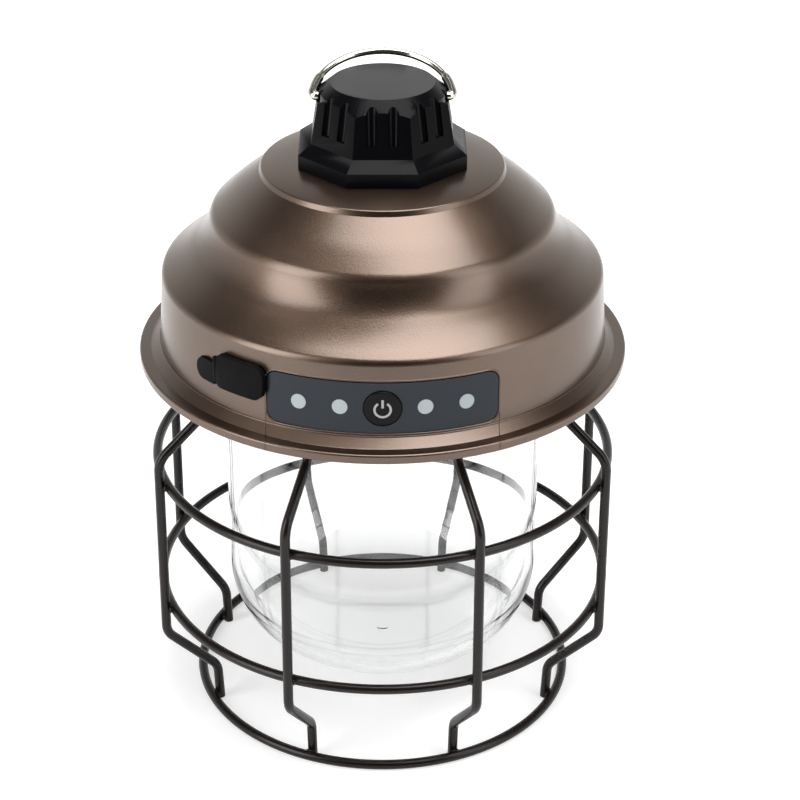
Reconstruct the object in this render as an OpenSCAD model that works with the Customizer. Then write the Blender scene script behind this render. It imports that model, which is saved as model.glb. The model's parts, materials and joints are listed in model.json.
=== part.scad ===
// Rechargeable camping lantern: a pressed-dome electronics head over a clear globe in a wire cage.
// The origin is on the ground at the centre of the base ring, +Z is up, the control panel faces -Y.

/* [Cage] */
// Diameter of the cage wire
wire_d = 2.5; // [2.2:0.1:3]
// Height of the head's underside above the ground
cage_h = 97.5; // [94:0.5:104]
// Diameter of the base ring's centreline
base_ring_d = 99; // [96:0.5:102]
// Diameter of the lower hoop's centreline
lower_hoop_d = 118; // [116.6:0.2:118.4]
// Height of the lower hoop
lower_hoop_z = 31.8; // [30:0.2:36]
// Diameter of the upper hoop's centreline
upper_hoop_d = 117.6; // [116.6:0.2:118]
// Height of the upper hoop
upper_hoop_z = 68.5; // [62:0.5:70]
// Depth by which a weld sinks one wire into the other
weld_sink = 0.25; // [0.1:0.05:0.5]
// Distance of the ribs' tops from the axis
rib_top_r = 46.5; // [46.3:0.1:47.5]
// Length of the straight rib top under the mounting ring
rib_top_h = 7; // [5:0.5:9]
// Height of the bend where a rib turns down into its long leg
rib_shoulder_z = 76.2; // [75:0.5:79]
// Height of the bend where the long leg turns inward
rib_knee_z = 24.6; // [22:0.2:26]
// Height of the bend where the rib turns down to the base ring
rib_ankle_z = 10.6; // [9.5:0.1:12]
// Inner radius of the ribs' bends, measured on the centreline
bend_r = 5.5; // [4:0.5:7]

/* [Head shell] */
// Diameter of the rim
rim_d = 124; // [122:0.5:128]
// Height of the rim
rim_h = 2.4; // [2:0.1:3.2]
// Diameter of the foot of the collar on top of the rim
collar_d = 117.8; // [116:0.2:120]
// Height of the collar
collar_h = 2.2; // [1.6:0.1:3]
// Diameter of the wall at its foot
wall_d = 113; // [111:0.5:115]
// Height of the wall
wall_h = 18.6; // [18:0.2:22]
// Amount by which the wall's radius shrinks to its top
wall_taper = 0.85; // [0.4:0.05:1.2]
// Rounding of the edge on top of the wall
wall_edge_r = 2.4; // [1.5:0.1:3]
// Height of the sloping skirt above the wall
skirt_h = 9.7; // [9:0.1:12]
// Diameter at the waist between the skirt and the bell
waist_d = 88; // [86:0.5:90]
// Height from the waist to the bell's edge
bell_h = 5.7; // [5:0.1:8]
// Amount by which the bell's radius shrinks over that height
bell_taper = 1.25; // [0.6:0.05:1.6]
// Height of the bell's slope up to the step
crown_h = 10.1; // [9:0.1:12]
// Diameter of the step
step_d = 61.8; // [58:0.2:64]
// Height of the step
step_h = 1.3; // [1:0.1:1.8]
// Rise of the top plate from the step to the cap's seat
top_rise = 1.65; // [1:0.05:2.2]
// Thickness of the shell
shell_t = 2; // [1.6:0.1:2.4]

/* [Globe] */
// Outer diameter of the globe
globe_d = 81.6; // [79:0.2:82]
// Thickness of the globe's wall
globe_t = 2; // [1.6:0.1:2.6]
// Height of the globe's lowest point above the ground
globe_bottom_z = 8.1; // [6:0.1:12]
// Height of the globe's rounded bottom
globe_round_h = 28.5; // [24:0.5:34]
// Fullness of the rounded bottom, 2 is an ellipse
globe_fullness = 2.24; // [2:0.02:2.6]
// Width of the lip that the globe is held by
globe_lip_w = 2.2; // [1.8:0.1:2.4]
// Thickness of the lip
globe_lip_t = 2.2; // [1.8:0.1:3]

/* [Cap] */
// Width of the octagonal plinth across its flats
cap_plinth_w = 40.8; // [39:0.2:43]
// Height of the plinth's upright sides
cap_plinth_h = 3.6; // [2.6:0.1:4.2]
// Width of the cap's body across its flats, above the plinth
cap_body_w = 34.6; // [34:0.2:36]
// Height of the slope between the plinth and the body
cap_slope_h = 2.4; // [1.8:0.1:3]
// Width across the flats at the shoulder
cap_top_w = 31.4; // [31:0.1:31.8]
// Height of the body between the slope and the shoulder
cap_body_h = 9.9; // [9:0.1:12]
// Diameter of the flat disc on top
cap_disc_d = 25.4; // [24:0.1:26]
// Height of the turned shoulder under the disc
cap_shoulder_h = 3.5; // [3:0.1:4]
// Diameter of the grip grooves
groove_d = 2.6; // [1.6:0.1:3]
// Distance between the two grooves in a face
groove_gap = 5.2; // [4:0.1:5.6]
// Length of the plain face below the grooves
groove_foot = 3; // [2.5:0.1:4.5]

/* [Hanging ring] */
// Diameter of the hanging ring's centreline
ring_d = 33.8; // [33.6:0.1:35]
// Diameter of the hanging ring's wire
ring_wire_d = 2.3; // [2:0.1:2.4]
// Diameter of the pins at the ring's ends
ring_pin_d = 1.7; // [1.4:0.1:1.9]
// Length of the pins inside the cap
ring_pin_l = 2.6; // [2:0.1:3.5]
// Depth of the pivots below the edge of the cap's flats
ring_drop = 0.3; // [0.2:0.1:0.8]
// Angle of the ring at rest, measured from upright
ring_rest = 70; // [66:1:73]

/* [Control panel] */
// Width of the panel, measured straight across
panel_w = 54.2; // [50:0.2:56]
// Height of the panel
panel_h = 12.8; // [12:0.1:13.6]
// Thickness of the panel
panel_t = 1; // [0.8:0.05:1.1]
// Rounding of the panel's corners
panel_r = 2.8; // [1.5:0.1:4]
// Height of the panel's centre above the foot of the wall
panel_rise = 7.2; // [7:0.1:8]
// Diameter of the power button
button_d = 8.9; // [8:0.1:9.4]
// Travel of the power button
button_travel = 0.5; // [0.3:0.1:0.6]
// Diameter of the indicator lenses
lens_d = 3.7; // [3:0.1:4.2]
// Angle between neighbouring lenses around the wall
lens_pitch = 10.25; // [9.5:0.05:11.2]

/* [Charging port] */
// Direction of the port around the head, from the front
port_angle = 36.2; // [35.6:0.1:38]
// Height of the port's centre above the foot of the wall
port_rise = 10; // [9.6:0.1:10.8]
// Width of the port cover
cover_w = 14.2; // [12.6:0.1:14.4]
// Height of the port cover
cover_h = 8.5; // [7.6:0.1:9]
// Thickness of the port cover
cover_t = 1.4; // [1.2:0.1:1.8]
// Rounding of the cover's corners
cover_r = 1.8; // [1:0.1:2.4]
// Length of the cover's fixed tab
tab_w = 6.4; // [6:0.1:8]
// Height of the cover's fixed tab
tab_h = 6.2; // [5:0.1:7]
// Drop of the fixed tab below the middle of the cover
tab_drop = 1.3; // [0:0.1:1.6]

/* [Inside] */
// Thickness of the base plate
plate_t = 3; // [2.6:0.1:3.6]
// Thickness of the steel mounting ring that carries the ribs
mount_ring_t = 1.5; // [1.2:0.1:2]
// Width of the mounting ring
mount_ring_w = 8.4; // [8.2:0.1:9]
// Diameter of the battery cells
cell_d = 18.4; // [17:0.1:18.6]
// Length of the battery cells
cell_l = 65; // [60:0.5:66]
// Thickness of the circuit boards
board_t = 1.6; // [1:0.1:1.8]
// Diameter of the LED board
led_board_d = 44; // [38:0.5:48]
// Diameter of the driver board
driver_board_d = 76; // [75:0.5:80]
// Thread diameter of the screws that hold the cage and the head shell
screw_d = 3; // [2.5:0.1:3.2]
// Thread diameter of the cap's screw
cap_screw_d = 4; // [3:0.1:5]

/* [Hidden] */
$fn = 96;
// Segments in one rounded corner of an outline
ARC_STEPS = 8;
RIB_COUNT = 8;
CELL_COUNT = 3;
LENS_SIDES = [-2, -1, 1, 2];

// Clearances
slip = 0.1;         // between fixed pieces that fit into each other
pin_slip = 0.08;    // around the hanging ring's pins
moving_gap = 0.3;   // between a moving piece and what it passes
button_slip = 0.15; // around the power button
over = 1;           // how far a cut runs past the face it opens
bite = 0.5;         // how far bosses and posts stand into the plate that carries them

// Heights of the head, from the rim up
ledge_z = cage_h + rim_h;
wall_z = ledge_z + collar_h;
wall_top_z = wall_z + wall_h;
waist_z = wall_top_z + skirt_h;
bell_z = waist_z + bell_h;
step_z = bell_z + crown_h;
seat_z = step_z + step_h + top_rise;
wall_r = wall_d / 2;
seat_r = cap_plinth_w / 2 / cos(22.5) + 0.6;
bell_r = waist_d / 2 - bell_taper;
plate_top_z = cage_h + plate_t;
plate_r = wall_r - shell_t - 2 * slip;

// Cap heights and the ring's pivots
plinth_top_z = seat_z + cap_plinth_h;
cap_body_z = plinth_top_z + cap_slope_h;
shoulder_z = cap_body_z + cap_body_h;
cap_top_z = shoulder_z + cap_shoulder_h;
pivot_z = shoulder_z - ring_drop;
ring_r = ring_d / 2;
ring_room = ring_wire_d / 2 + moving_gap;
pivot_sink = 0.9;               // depth of the sinkings round the pivots
pivot_sink_d = 2 * ring_pin_d;
cap_wall = 2.6;
cap_hollow_h = 7;
cap_hole_l = 9;
cap_screw_l = 9;                // length above the washer's shell
washer_t = 1;
washer_r = 1.4 * cap_screw_d;
taper_angle = atan((cap_body_w - cap_top_w) / 2 / cap_body_h);

// Radii of the cage: hoops lie inside the ribs, the base ring outside their feet
mount_ring_r = rib_top_r - wire_d / 2 - moving_gap + mount_ring_w;
mount_ring_z = cage_h - mount_ring_t;
rib_upper_r = upper_hoop_d / 2 + wire_d - weld_sink;
rib_lower_r = lower_hoop_d / 2 + wire_d - weld_sink;
rib_foot_r = base_ring_d / 2 - wire_d + weld_sink;
ankle_r = rib_foot_r + 0.5;

// Globe, its lip and what holds it
globe_r = globe_d / 2;
gasket_t = 1;
lip_r = globe_r + globe_lip_w;
lip_top_z = cage_h - gasket_t;
lip_z = lip_top_z - globe_lip_t;
ring_ledge_t = 1.6;
holder_r = rib_top_r - wire_d / 2 - moving_gap;
ear_t = 1.6;
ear_w = 8;
screw_circle_r = holder_r + screw_d;
ear_tail = 3.5;                 // the ears' length past their screws
ear_gap = 0.6;
head_d = 1.8 * screw_d;
head_t = 0.55 * screw_d;

// Boss positions and the inner pieces
boss_d = 2.2 * screw_d;
boss_circle_r = plate_r - boss_d / 2 - 1.8;
boss_hole_l = 12;
cage_boss_h = 3;
shell_screw_l = 11;
tray_t = 1.5;
tray_rib_h = 2;
tray_pillar_w = 5;
cell_end_room = 0.3;
cell_pole_h = 0.5;
pilot_d = 1.2;                  // the boards' small screws
cell_pitch = cell_d + 0.4;
cell_z = plate_top_z + tray_t + cell_d / 2;
tray_end_t = 2;
tray_l = cell_l + 2 * tray_end_t + 2 * cell_end_room;
tray_w = CELL_COUNT * cell_pitch;
driver_z = cell_z + cell_d / 2 + 1.5;
panel_z = wall_z + panel_rise;
panel_seat_x = 2.5;             // the panel's seat beside and above its window
panel_seat_z = 1;
port_z = wall_z + port_rise;
control_y = -wall_r + 9.5;      // front face of the control board
control_w = 42;
post_w = 3.5;
post_wall = 1.2;
post_h = 6;                     // how far the posts grip the board
post_grip = 1.3;                // how far its edges stand in their slots
boss_angle = 33;                // direction of the first shell screw, clear of the port and the board
control_z = plate_top_z + 4.5;
switch_w = 6;
switch_t = 3.1;
plunger_d = 3.4;
plunger_out = 1.2;
flange_t = 1;
flange_r = button_d / 2 + 0.8;
flange_fall = pow(flange_r, 2) / wall_d + wall_taper * (panel_rise + flange_r) / wall_h; // panel's bend and lean
lens_l = 3.2;
usb_w = 8.94;
usb_h = 3.26;
usb_l = 7.3;
usb_wall = 0.3;
usb_mouth = shell_t + 0.3;      // depth of the socket's mouth behind the wall's face
plug_l = 1.1;                   // how far the cover's plug goes into the wall
plug_room = 0.4;
port_hole_w = usb_w + 2.2;
port_hole_h = usb_h + 1.9;
port_hole_r = 2;
tab_sink = 1.2;                 // depth of the pocket for the cover's tab
tab_proud = 0.4;
tab_r = 2.6;
tab_gap = 1.1;                  // from the hinge to the tab
tongue_w = 6.7;
tongue_t = 0.7;
tongue_back = 0.8;              // how far it stays behind the socket's mouth
usb_end_t = 0.5;
shelf_d = 6;
usb_board_w = 12;
usb_board_l = 11;
usb_board_y = -wall_r + usb_mouth + 1;
hinge_x = -cover_w / 2 - 0.3;   // place of the cover's hinge in the port's own frame

BRONZE = [0.45, 0.35, 0.29];
BLACK = [0.09, 0.09, 0.1];
SLATE = [0.2, 0.23, 0.26];
WIRE = [0.2, 0.16, 0.14];
CHROME = [0.82, 0.81, 0.78];
STEEL = [0.62, 0.63, 0.65];
GLASS = [0.85, 0.92, 0.95, 0.35];
BOARD = [0.1, 0.35, 0.2];
WHITE = [0.93, 0.93, 0.9];

// ---- Outlines with rounded corners. A path is a list of [x, y, corner radius]. ----
function flat(p) = [p.x, p.y];
function unit(v) = v / norm(v);
// The arc of one corner: [centre, radius, first angle, signed turn]
function corner(a, b, c) = let (
        u = unit(flat(a) - flat(b)), w = unit(flat(c) - flat(b)),
        half = acos(u * w) / 2,
        centre = flat(b) + unit(u + w) * b.z / sin(half),
        from = flat(b) + u * b.z / tan(half) - centre,
        to = flat(b) + w * b.z / tan(half) - centre,
        first = atan2(from.y, from.x),
        turn = (atan2(to.y, to.x) - first + 540) % 360 - 180
    ) [centre, b.z, first, turn];
function arc_point(arc, t) = arc[0] + arc[1] * [cos(arc[2] + arc[3] * t), sin(arc[2] + arc[3] * t)];
function rounded(path) = [for (i = [0 : len(path) - 1])
    each i == 0 || i == len(path) - 1 || path[i].z == 0
        ? [flat(path[i])]
        : let (arc = corner(path[i - 1], path[i], path[i + 1]))
            [for (k = [0 : ARC_STEPS]) arc_point(arc, k / ARC_STEPS)]];
function left_normal(a, b) = let (d = unit(flat(b) - flat(a))) [-d.y, d.x];
function turns_left(a, b, c) = (b.x - a.x) * (c.y - b.y) > (b.y - a.y) * (c.x - b.x);
// The same path moved to its left by t, with its corner radii kept concentric
function inset(path, t) = [for (i = [0 : len(path) - 1]) let (
        n1 = left_normal(path[max(i - 1, 0)], path[max(i, 1)]),
        n2 = left_normal(path[min(i, len(path) - 2)], path[min(i + 1, len(path) - 1)]),
        p = flat(path[i]) + t * (n1 + n2) / (1 + n1 * n2),
        left = i > 0 && i < len(path) - 1 && turns_left(path[i - 1], path[i], path[i + 1]),
        r = path[i].z == 0 ? 0 : left ? max(path[i].z - t, 0.3) : path[i].z + t
    ) [p.x, p.y, r]];
function reversed(list) = [for (i = [len(list) - 1 : -1 : 0]) list[i]];

// The outside of the head above the foot of its wall
crown_path = [
    [wall_r - wall_taper, wall_top_z, wall_edge_r],
    [waist_d / 2, waist_z, 7],
    [bell_r, bell_z, 4],
    [(bell_r + step_d / 2) / 2 + 0.6, (bell_z + step_z) / 2, 40],
    [step_d / 2, step_z, 0.2],
    [step_d / 2 - 0.5, step_z + step_h, 0.5],
    [seat_r, seat_z, 0],
    [0, seat_z, 0]];

module turned(points) rotate_extrude() polygon(points);
module rounded_rect(w, h, r) {
    square([w - 2 * r, h], center = true);
    square([w, h - 2 * r], center = true);
    for (x = [-1, 1], y = [-1, 1]) translate([x * (w / 2 - r), y * (h / 2 - r)]) circle(r = r, $fn = 48);
}
// Draws a plate seen from the front, pushed towards -Y between the depths y0 and y1
module toward_front(y0, y1) translate([0, -y0, 0]) rotate([90, 0, 0]) linear_extrude(y1 - y0) children();
// The tapered wall's face, moved inward by depth
module wall_face(depth) translate([0, 0, wall_z])
    cylinder(h = wall_h, r1 = wall_r - depth, r2 = wall_r - wall_taper - depth);
module wall_layer(outer, inner) difference() {
    wall_face(outer);
    translate([0, 0, -wall_h * 0.001]) wall_face(inner);
    translate([0, 0, wall_top_z - 0.01]) cylinder(h = 1, r = wall_r);
}
// Copies at four places around the axis
module at_quarters(r, first) for (i = [0 : 3]) rotate([0, 0, first + 90 * i]) translate([0, -r, 0]) children();
module screw(d, l) {
    cylinder(h = l, d = d, $fn = 32);
    translate([0, 0, -head_t]) cylinder(h = head_t, d = 1.8 * d, $fn = 32);
}
// Wire bent along a path in the XZ plane: straight rods joined by bends, which draw a little thinner
BEND_THINNING = 0.04;
ROD_REACH = 0.3;    // length by which a rod reaches into a bend
module bent_wire(path, d) rotate([90, 0, 0]) {
    last = len(path) - 1;
    arcs = [for (i = [1 : last - 1]) corner(path[i - 1], path[i], path[i + 1])];
    for (arc = arcs) translate(arc[0]) rotate([0, 0, arc[3] < 0 ? arc[2] + arc[3] : arc[2]])
        rotate_extrude(angle = abs(arc[3])) translate([arc[1], 0]) circle(d = d - BEND_THINNING, $fn = 24);
    for (i = [0 : last - 1]) let (
        from = i == 0 ? flat(path[0]) : arc_point(arcs[i - 1], 1),
        to = i == last - 1 ? flat(path[last]) : arc_point(arcs[i], 0),
        run = to - from,
        reach0 = i == 0 ? 0 : ROD_REACH,
        reach1 = i == last - 1 ? 0 : ROD_REACH
    ) translate(from) rotate([0, 0, atan2(run.y, run.x)]) rotate([0, 90, 0])
        translate([0, 0, -reach0]) cylinder(h = norm(run) + reach0 + reach1, d = d, $fn = 24);
}

// ---- Head ----
module head_shell() color(BRONZE) difference() {
    union() {
        turned(concat(
            rounded(concat([
                [plate_r + slip, cage_h, 0], [rim_d / 2, cage_h, 0.5], [rim_d / 2, ledge_z, 0.8],
                [collar_d / 2, ledge_z + 0.1, 0.4], [wall_r, wall_z, 0.9]], crown_path)),
            reversed(rounded(inset(concat([[wall_r, cage_h, 0], [wall_r, wall_z, 0]], crown_path), shell_t)))));
        intersection() {
            at_quarters(boss_circle_r, boss_angle) translate([0, 0, plate_top_z])
                cylinder(h = waist_z - plate_top_z, d = boss_d, $fn = 48);
            turned(concat([[0, cage_h]],
                rounded(inset(concat([[wall_r, cage_h, 0], [wall_r, wall_z, 0]], crown_path), shell_t / 2))));
        }
    }
    // screw holes
    at_quarters(boss_circle_r, boss_angle) translate([0, 0, plate_top_z - over])
        cylinder(h = boss_hole_l + over, d = screw_d, $fn = 32);
    translate([0, 0, seat_z - shell_t - over]) cylinder(h = shell_t + 2 * over, d = cap_screw_d + slip, $fn = 32);
    // pocket for the panel, and the window behind it
    intersection() {
        wall_layer(-over, panel_t + 2 * slip);
        translate([0, 0, panel_z]) toward_front(wall_r / 2, wall_r + 1)
            rounded_rect(panel_w + 2 * slip, panel_h + 2 * slip, panel_r);
    }
    translate([0, 0, panel_z]) toward_front(wall_r / 2, wall_r + 1)
        rounded_rect(panel_w - 2 * panel_seat_x, panel_h - 2 * panel_seat_z, panel_r - panel_seat_z);
    // charging port, and the pocket for its cover's tab
    rotate([0, 0, -port_angle]) {
        translate([0, 0, port_z]) toward_front(wall_r / 2, wall_r + over)
            rounded_rect(port_hole_w, port_hole_h, port_hole_r);
        intersection() {
            wall_layer(-over, tab_sink);
            tab_outline(slip);
        }
    }
}
module base_plate() color(BLACK) difference() {
    union() {
        translate([0, 0, cage_h]) cylinder(h = plate_t, r = plate_r);
        // bosses for the cage screws
        at_quarters(screw_circle_r, 0) translate([0, 0, plate_top_z - bite])
            cylinder(h = cage_boss_h + bite, d = boss_d, $fn = 48);
        // slotted posts for the control board
        for (x = [-1, 1])
            translate([x * (control_w / 2 - post_grip + post_w / 2) - post_w / 2,
                control_y - post_wall, plate_top_z - bite])
                cube([post_w, board_t + 2 * post_wall, control_z - plate_top_z + post_h]);
        // shelf for the socket's board
        rotate([0, 0, -port_angle]) translate([0, usb_board_y + usb_board_l / 2, plate_top_z - bite])
            cylinder(h = port_z - usb_h / 2 - board_t - plate_top_z + bite, d = shelf_d, $fn = 48);
    }
    translate([-control_w / 2 - slip, control_y - slip, control_z])
        cube([control_w + 2 * slip, board_t + 2 * slip, post_h + over]);
    at_quarters(boss_circle_r, boss_angle) {
        translate([0, 0, cage_h - over]) cylinder(h = plate_t + 2 * over, d = screw_d + slip, $fn = 32);
        translate([0, 0, cage_h - over]) cylinder(h = head_t + slip + over, d = head_d + 2 * slip, $fn = 32);
    }
    at_quarters(screw_circle_r, 0) translate([0, 0, cage_h - over])
        cylinder(h = plate_t + cage_boss_h + over - bite, d = screw_d, $fn = 32);
}
module shell_screws() color(STEEL)
    at_quarters(boss_circle_r, boss_angle) translate([0, 0, cage_h + slip + head_t])
        screw(screw_d, shell_screw_l);

// ---- Cap and hanging ring ----
module octagon_body(path) intersection_for (i = [0 : 3]) rotate([0, 0, 45 * i]) rotate([90, 0, 0])
    translate([0, 0, -cap_plinth_w]) linear_extrude(2 * cap_plinth_w)
        polygon(concat(path, reversed([for (p = path) [-p.x, p.y]])));
module cap() color(BLACK) difference() {
    intersection() {
        octagon_body([
            [cap_plinth_w / 2, seat_z], [cap_plinth_w / 2, plinth_top_z], [cap_body_w / 2, cap_body_z],
            [cap_top_w / 2, shoulder_z],
            [cap_top_w / 2 - cap_shoulder_h * tan(taper_angle), cap_top_z]]);
        // turned shoulder, passing through the octagon's corners at the shoulder's height
        let (corner_r = cap_top_w / 2 / cos(22.5), slope = cap_shoulder_h / (corner_r - cap_disc_d / 2),
            far_r = cap_plinth_w * 0.6)
            turned([[0, seat_z], [far_r, seat_z], [far_r, shoulder_z - (far_r - corner_r) * slope],
                [cap_disc_d / 2, cap_top_z], [0, cap_top_z]]);
    }
    // grip grooves, two in each face, leaning with it and running out through the shoulder
    for (i = [0 : 7], x = [-1, 1]) rotate([0, 0, 45 * i])
        translate([x * groove_gap / 2, -cap_body_w / 2 + groove_foot * tan(taper_angle), cap_body_z + groove_foot])
            rotate([-taper_angle, 0, 0]) cylinder(h = cap_body_h + cap_shoulder_h, d = groove_d, $fn = 24);
    // hollow underside, with a boss left round the screw
    translate([0, 0, seat_z - over]) difference() {
        cylinder(h = cap_body_z - seat_z + cap_hollow_h, r = cap_top_w / 2 - cap_wall);
        cylinder(h = cap_body_z, r = cap_screw_d);
    }
    translate([0, 0, seat_z - over]) cylinder(h = cap_hole_l + over, d = cap_screw_d, $fn = 32);
    // pivot holes and the sinkings round them
    for (x = [-1, 1]) translate([0, 0, pivot_z]) rotate([0, 90 * x, 0]) {
        cylinder(h = cap_top_w, d = ring_pin_d + 2 * pin_slip, $fn = 32);
        translate([0, 0, cap_top_w / 2 - pivot_sink]) cylinder(h = cap_top_w, d = pivot_sink_d, $fn = 32);
    }
    // the edge eased round the pivots, clear of the ring wherever it swings
    translate([0, 0, pivot_z]) difference() {
        intersection() {
            above_ring(1);
            above_ring(-1);
        }
        sphere(r = ring_r - ring_room);
    }
}
module above_ring(side) rotate([side * (90 - ring_rest), 0, 0])
    translate([-cap_top_w, -cap_top_w, -ring_room]) cube(2 * cap_top_w);
module hanging_ring() color(CHROME) translate([0, 0, pivot_z]) rotate([-ring_rest, 0, 0]) {
    rotate([90, 0, 0]) rotate_extrude(angle = 180) translate([ring_r, 0]) circle(d = ring_wire_d, $fn = 32);
    for (x = [-1, 1]) {
        intersection() {
            translate([x * ring_r, 0, 0]) sphere(d = ring_wire_d, $fn = 32);
            translate([x * ring_r - ring_wire_d, -ring_wire_d, -2 * ring_wire_d]) cube(2 * ring_wire_d);
        }
        translate([x * ring_r, 0, 0]) rotate([0, -90 * x, 0])
            cylinder(h = ring_r - cap_top_w / 2 + pivot_sink + ring_pin_l, d = ring_pin_d, $fn = 32);
    }
}
module cap_washer() color(STEEL) translate([0, 0, seat_z - shell_t - washer_t]) difference() {
    cylinder(h = washer_t, r = washer_r, $fn = 48);
    translate([0, 0, -over]) cylinder(h = washer_t + 2 * over, d = cap_screw_d + 2 * slip, $fn = 32);
}
module cap_screw() color(STEEL) translate([0, 0, seat_z - shell_t - washer_t])
    screw(cap_screw_d, shell_t + cap_screw_l);

// ---- Control panel ----
module control_panel() color(SLATE) difference() {
    intersection() {
        wall_layer(slip, slip + panel_t);
        translate([0, 0, panel_z]) toward_front(wall_r / 2, wall_r + 1) rounded_rect(panel_w, panel_h, panel_r - slip);
    }
    translate([0, 0, panel_z]) toward_front(0, wall_r + 1) circle(d = button_d + 2 * button_slip);
    for (side = LENS_SIDES) at_lens(side) cylinder(h = wall_r, d = lens_d, $fn = 48);
}
module at_lens(side) rotate([0, 0, side * lens_pitch]) translate([0, 0, panel_z]) rotate([90, 0, 0]) children();
module indicator_lens(side) color(WHITE) intersection() {
    at_lens(side) translate([0, 0, wall_r - lens_l]) cylinder(h = lens_l + 5, d = lens_d, $fn = 48);
    wall_face(slip);
}
module power_button() color(BLACK) translate([0, 0, panel_z]) {
    back = wall_r - slip - panel_t - flange_fall - moving_gap;
    toward_front(back - 0.01, wall_r) circle(d = button_d);
    toward_front(back - flange_t, back) circle(r = flange_r);
    toward_front(-control_y + switch_t + plunger_out, back - flange_t) circle(d = plunger_d, $fn = 48);
}
module switch_plunger() color(BLACK) translate([0, 0, panel_z])
    toward_front(-control_y + switch_t - 0.6, -control_y + switch_t + plunger_out) circle(d = plunger_d, $fn = 48);
module switch_housing() color(STEEL) translate([0, 0, panel_z]) difference() {
    toward_front(-control_y, -control_y + switch_t) square(switch_w, center = true);
    toward_front(-control_y + switch_t - 0.8 - button_travel, -control_y + switch_t + 1)
        circle(d = plunger_d + 2 * slip, $fn = 48);
}
module indicator_leds() color(WHITE) for (side = LENS_SIDES)
    translate([-control_y * tan(side * lens_pitch), 0, panel_z])
        toward_front(-control_y, -control_y + 0.6) square([1.6, 0.8], center = true);
module control_board() color(BOARD) translate([-control_w / 2, control_y, control_z])
    cube([control_w, board_t, panel_z + panel_h / 2 - control_z + 2]);

// ---- Charging port: drawn facing the front, turned into place ----
module at_port() rotate([0, 0, -port_angle]) translate([0, 0, port_z]) children();
module tab_outline(gap) translate([hinge_x - tab_gap - tab_w / 2, 0, port_z - tab_drop]) toward_front(wall_r / 2, wall_r + 5)
    rounded_rect(tab_w + 2 * gap, tab_h + 2 * gap, tab_r);
module usb_shell() color(STEEL) at_port() difference() {
    toward_front(wall_r - usb_mouth - usb_l, wall_r - usb_mouth) rounded_rect(usb_w, usb_h, usb_h / 2 - 0.01);
    toward_front(wall_r - usb_mouth - usb_l + usb_end_t, wall_r)
        rounded_rect(usb_w - 2 * usb_wall, usb_h - 2 * usb_wall, usb_h / 2 - usb_wall - 0.01);
}
module usb_tongue() color(BLACK) at_port()
    toward_front(wall_r - usb_mouth - usb_l + usb_end_t, wall_r - usb_mouth - tongue_back)
        square([tongue_w, tongue_t], center = true);
module usb_board() color(BOARD) rotate([0, 0, -port_angle])
    translate([-usb_board_w / 2, usb_board_y, port_z - usb_h / 2 - board_t])
        cube([usb_board_w, usb_board_l, board_t]);
// The middle of the cover lies its clearance and half its thickness off the wall at the hinge's foot
cover_mid = moving_gap + cover_t / 2;
port_wall_r = wall_r - wall_taper * (port_rise - tab_h / 2) / wall_h;
hinge_y = -sqrt(pow(port_wall_r + cover_mid, 2) - pow(hinge_x, 2));
module port_cover() color(BLACK) rotate([0, 0, -port_angle]) {
    intersection() {
        wall_layer(-moving_gap - cover_t, -moving_gap);
        translate([0, 0, port_z]) toward_front(wall_r / 2, wall_r + 5) {
            rounded_rect(cover_w, cover_h, cover_r);
            translate([(hinge_x - 1) / 2, 0]) square([-hinge_x - 1, tab_h], center = true);
            translate([hinge_x / 2, 0]) square([-hinge_x, tab_h], center = true);
        }
    }
    translate([hinge_x, hinge_y, port_z - tab_h / 2]) cylinder(h = tab_h, d = cover_t, $fn = 32);
    // plug that fills the port in front of the socket
    intersection() {
        wall_layer(-moving_gap - cover_t / 2, plug_l);
        translate([0, 0, port_z]) toward_front(wall_r / 2, wall_r + 5)
            rounded_rect(port_hole_w - 2 * plug_room, port_hole_h - 2 * plug_room, port_hole_r - plug_room);
    }
}
module port_cover_tab() color(BLACK) rotate([0, 0, -port_angle]) difference() {
    intersection() {
        wall_layer(-moving_gap - tab_proud, tab_sink - slip);
        tab_outline(0);
    }
    translate([hinge_x, hinge_y, port_z - tab_h]) cylinder(h = 2 * tab_h, d = cover_t + 2 * moving_gap, $fn = 32);
}

// ---- Battery and driver ----
module battery_tray() color(BLACK) difference() {
    translate([0, 0, plate_top_z]) {
        translate([-tray_l / 2, -tray_w / 2, 0]) cube([tray_l, tray_w, tray_t + tray_rib_h]);
        for (x = [-1, 1]) translate([x * (tray_l - tray_end_t) / 2 - tray_end_t / 2, -tray_w / 2, 0])
            cube([tray_end_t, tray_w, tray_t + cell_d * 0.7]);
        // pillars that carry the driver board
        for (x = [-1, 1], y = [-1, 1])
            translate([x * (tray_l - tray_end_t) / 2 - tray_end_t / 2, y * cell_pitch / 2 - tray_pillar_w / 2, 0])
                cube([tray_end_t, tray_pillar_w, driver_z - plate_top_z]);
    }
    for (i = [0 : CELL_COUNT - 1]) at_cell(i) cylinder(h = cell_l + 2 * cell_end_room, d = cell_d + 2 * slip, center = true);
}
module at_cell(i) translate([0, (i - (CELL_COUNT - 1) / 2) * cell_pitch, cell_z]) rotate([0, 90, 0]) children();
module battery_cell(i) color("slateblue") at_cell(i) {
    cylinder(h = cell_l - 2 * cell_pole_h, d = cell_d, center = true);
    translate([0, 0, cell_l / 2 - cell_pole_h]) cylinder(h = cell_pole_h, d = cell_d * 0.35, $fn = 48);
    translate([0, 0, -cell_l / 2]) cylinder(h = cell_pole_h, d = cell_d * 0.6, $fn = 48);
}
driver_hole_x = (tray_l - tray_end_t) / 2;
module driver_board() color(BOARD) translate([0, 0, driver_z]) difference() {
    cylinder(h = board_t, d = driver_board_d);
    for (x = [-1, 1], y = [-1, 1]) translate([x * driver_hole_x, y * cell_pitch / 2, -over])
        cylinder(h = board_t + 2 * over, d = pilot_d, $fn = 24);
}
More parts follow.
